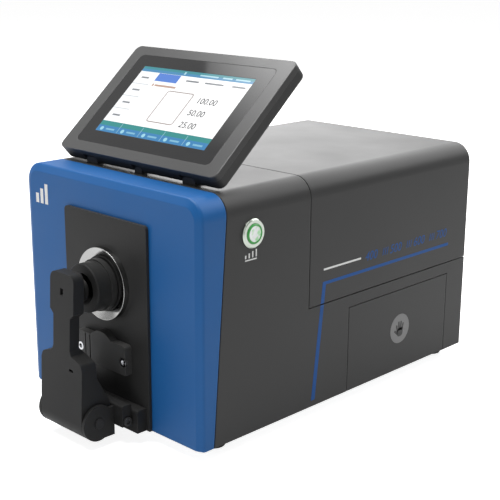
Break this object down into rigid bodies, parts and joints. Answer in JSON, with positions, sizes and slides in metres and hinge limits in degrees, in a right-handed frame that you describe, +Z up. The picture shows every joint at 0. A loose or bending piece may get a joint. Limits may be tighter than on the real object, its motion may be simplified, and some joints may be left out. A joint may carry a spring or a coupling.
{
  "type": "benchtop spectrophotometer",
  "caption": "Benchtop colour-measuring spectrophotometer with a front port and sprung sample holder, a tilting screen, a test button, a side drawer and a lift-up rear hood.",
  "frame": {"origin": "middle of the whole object's footprint, on the surface that it stands on", "axes": "+Z up, -Y towards the user and out of the port, +X to the user's right, where the button and the drawer are"},
  "size_m": [0.2436, 0.443, 0.3282],
  "materials": {
    "blue_cover": "satin powder coat",
    "dark_shell": "fine textured powder coat",
    "black_plate": "satin black paint",
    "black_plastic": "satin",
    "grey_bezel": "fine texture",
    "display_back": "fine texture",
    "screen_glass": "clear, polished",
    "screen": "lit panel",
    "turned_metal": "turned, bright",
    "steel": "satin",
    "zinc_sheet": "zinc plated",
    "chrome": "bright plated",
    "spring_steel": "oiled",
    "aluminium": "bead blasted",
    "black_anodised": "black anodised",
    "rubber": "matte",
    "button_green": "translucent",
    "button_cap": "translucent, pale",
    "board_green": "solder mask",
    "tray_plastic": "moulded",
    "white_ceramic": "matte white",
    "quartz": "clear, polished",
    "capacitor_sleeve": "shrink sleeve"
  },
  "bodies": {
    "chassis": {"front_cover": "blue_cover", "main_cover": "dark_shell", "base_plate": "zinc_sheet", "rear_panel": "dark_shell", "bulkhead": "black_plate", "compartment_deck": "black_plate", "corner_blocks": "aluminium", "feet": "rubber", "foot_screws": "steel", "front_plate": "black_plate", "port_ring": "turned_metal", "aperture_barrel": "black_anodised", "sphere_front": "aluminium", "sphere_back": "aluminium", "sphere_screws": "steel", "sphere_bracket": "zinc_sheet", "lamp_housing": "aluminium", "flash_lamp": "quartz", "flash_capacitors": "capacitor_sleeve", "spectrometer_case": "black_anodised", "lens_barrel": "black_anodised", "receiving_lens": "quartz", "diffraction_grating": "aluminium", "detector_array": "board_green", "cell_holder": "black_anodised", "main_board": "board_green", "sample_rest": "black_plastic", "holder_base": "black_anodised", "hinge_block": "black_anodised", "hinge_cheeks": "black_anodised", "holder_screws": "chrome", "hinge_pin": "steel", "torsion_spring": "spring_steel", "display_hinges": "black_plastic", "cable_cover": "black_plastic", "hood_hinge_fixed": "steel", "cover_hinge_pins": "steel", "drawer_runners": "steel", "drawer_latch": "black_plastic", "button_bezel": "steel", "switch_block": "black_plastic", "power_inlet": "black_plastic", "data_sockets": "steel", "power_switch_frame": "black_plastic"},
    "display": {"display_bezel": "grey_bezel", "display_glass": "screen_glass", "display_panel": "screen", "display_housing": "display_back"},
    "hood": {"hood": "dark_shell", "hood_hinge_moving": "steel"},
    "drawer": {"drawer_front": "dark_shell", "drawer_tray": "tray_plastic", "white_tile": "white_ceramic", "black_trap": "black_plastic"},
    "arm": {"holder_arm": "black_anodised", "press_pad": "rubber"},
    "test_button": {"button_ring": "button_green", "button_cap": "button_cap"},
    "power_rocker": {"power_rocker": "black_plastic"}
  },
  "joints": [
    {"name": "display_tilt", "type": "hinge", "parent": "chassis", "child": "display", "pos_m": [0, -0.12467, 0.23735], "axis": [1, 0, 0], "range_deg": [-15, 35]},
    {"name": "hood_lift", "type": "hinge", "parent": "chassis", "child": "hood", "pos_m": [0, 0.2181, 0.1089], "axis": [-1, 0, 0], "range_deg": [0, 80]},
    {"name": "drawer_slide", "type": "slide", "parent": "chassis", "child": "drawer", "axis": [1, 0, 0], "range_m": [0, 0.105]},
    {"name": "arm_swing", "type": "hinge", "parent": "chassis", "child": "arm", "pos_m": [0, -0.2053, 0.0244], "axis": [1, 0, 0], "range_deg": [0, 80], "stiffness_Nm_per_rad": 0.2, "springref_deg": -114.59},
    {"name": "test_press", "type": "slide", "parent": "chassis", "child": "test_button", "axis": [-1, 0, 0], "range_m": [0, 0.002], "stiffness_N_per_m": 400, "springref_m": -0.002},
    {"name": "power_rock", "type": "hinge", "parent": "chassis", "child": "power_rocker", "pos_m": [-0.086, 0.2121, 0.068], "axis": [1, 0, 0], "range_deg": [0, 14]}
  ]
}
